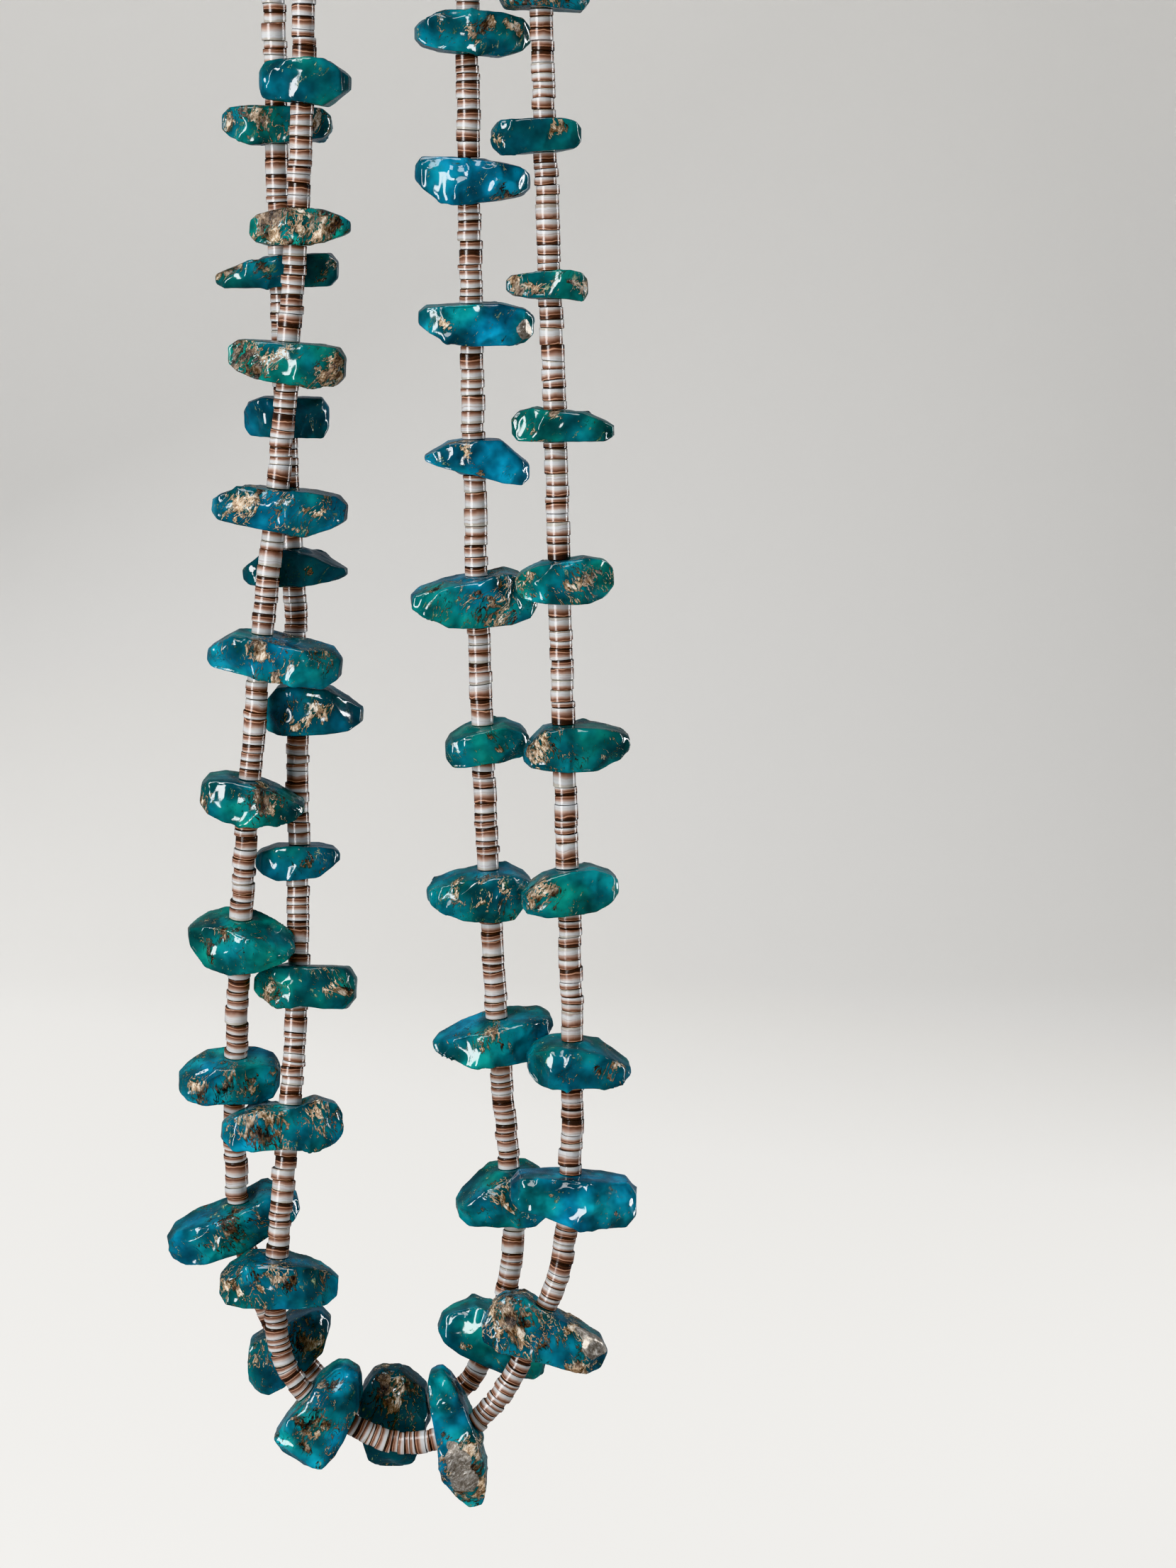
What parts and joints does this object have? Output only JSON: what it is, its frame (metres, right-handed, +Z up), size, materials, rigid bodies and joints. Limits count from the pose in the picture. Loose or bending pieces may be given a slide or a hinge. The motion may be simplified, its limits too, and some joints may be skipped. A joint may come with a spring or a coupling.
{
  "type": "heishi bead necklace",
  "caption": "Long two-strand necklace of thin shell heishi discs with drilled turquoise nuggets, hanging as one loop from a plain bar clasp.",
  "frame": {"origin": "middle of the clasp's underside, where the necklace hangs over a peg", "axes": "+Z up, +X to the viewer's right, +Y from the front to the back"},
  "size_m": [0.0853, 0.0221, 0.359],
  "materials": {
    "turquoise": "tumbled and waxed, with brown matrix",
    "shell": "ground and polished, banded brown and white",
    "cotton": "twisted thread",
    "silver": "softly polished silver"
  },
  "bodies": {
    "root": {"inner_nugget_01": "turquoise", "inner_nugget_02": "turquoise", "inner_nugget_03": "turquoise", "inner_nugget_04": "turquoise", "inner_nugget_05": "turquoise", "inner_nugget_06": "turquoise", "inner_nugget_07": "turquoise", "inner_nugget_08": "turquoise", "inner_nugget_09": "turquoise", "inner_nugget_10": "turquoise", "inner_nugget_11": "turquoise", "inner_nugget_12": "turquoise", "inner_nugget_13": "turquoise", "inner_nugget_14": "turquoise", "inner_nugget_15": "turquoise", "inner_nugget_16": "turquoise", "inner_nugget_17": "turquoise", "inner_nugget_18": "turquoise", "inner_nugget_19": "turquoise", "inner_nugget_20": "turquoise", "inner_nugget_21": "turquoise", "inner_heishi": "shell", "inner_neck_heishi": "shell", "inner_thread": "cotton", "outer_nugget_01": "turquoise", "outer_nugget_02": "turquoise", "outer_nugget_03": "turquoise", "outer_nugget_04": "turquoise", "outer_nugget_05": "turquoise", "outer_nugget_06": "turquoise", "outer_nugget_07": "turquoise", "outer_nugget_08": "turquoise", "outer_nugget_09": "turquoise", "outer_nugget_10": "turquoise", "outer_nugget_11": "turquoise", "outer_nugget_12": "turquoise", "outer_nugget_13": "turquoise", "outer_nugget_14": "turquoise", "outer_nugget_15": "turquoise", "outer_nugget_16": "turquoise", "outer_nugget_17": "turquoise", "outer_nugget_18": "turquoise", "outer_nugget_19": "turquoise", "outer_nugget_20": "turquoise", "outer_nugget_21": "turquoise", "outer_heishi": "shell", "outer_neck_heishi": "shell", "outer_thread": "cotton", "clasp": "silver"}
  },
  "joints": []
}
